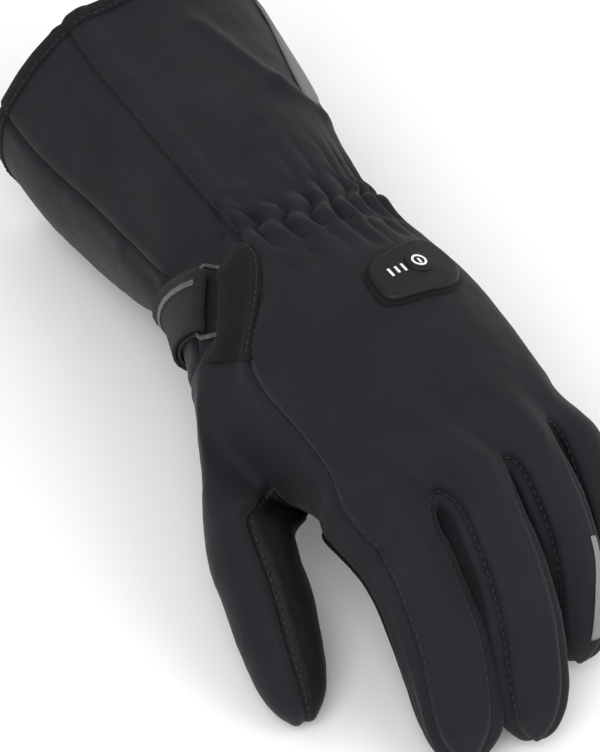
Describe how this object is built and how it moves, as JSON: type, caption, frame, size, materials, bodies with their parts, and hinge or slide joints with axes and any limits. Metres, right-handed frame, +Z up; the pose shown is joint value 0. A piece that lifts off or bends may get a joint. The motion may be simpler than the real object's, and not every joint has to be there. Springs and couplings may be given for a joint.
{
  "type": "heated winter glove",
  "caption": "Padded gauntlet glove for a left hand with a gathered wrist, wrist strap, leather palm and a heating control on the back.",
  "frame": {"origin": "middle of the flat rest patch on the underside of the cuff", "axes": "+X from the cuff towards the fingers, +Y from the thumb towards the little finger, +Z up through the back of the hand"},
  "size_m": [0.3289, 0.1678, 0.0972],
  "materials": {
    "softshell": "matte",
    "leather": "satin",
    "webbing": "matte",
    "reflective": "satin",
    "steel_wire": "satin",
    "rubber": "matte",
    "print_white": "matte"
  },
  "bodies": {
    "root": {"back_panel": "softshell", "control_pad": "rubber", "control_pad_frame": "webbing", "cuff_binding": "webbing", "cuff_side_panel": "softshell", "cuff_under_panel": "softshell", "fourchette_1": "softshell", "fourchette_2": "softshell", "fourchette_3": "softshell", "level_bar_1": "print_white", "level_bar_2": "print_white", "level_bar_3": "print_white", "palm_panel": "leather", "power_button": "rubber", "power_mark_ring": "print_white", "power_mark_stem": "print_white", "reflective_cuff_insert": "reflective", "reflective_finger_strip": "reflective", "strap_loop": "steel_wire", "strap_stripe": "reflective", "thumb_palm_panel": "leather", "thumb_side_panel": "softshell", "wrist_side_panel": "webbing", "wrist_strap": "webbing"}
  },
  "joints": []
}
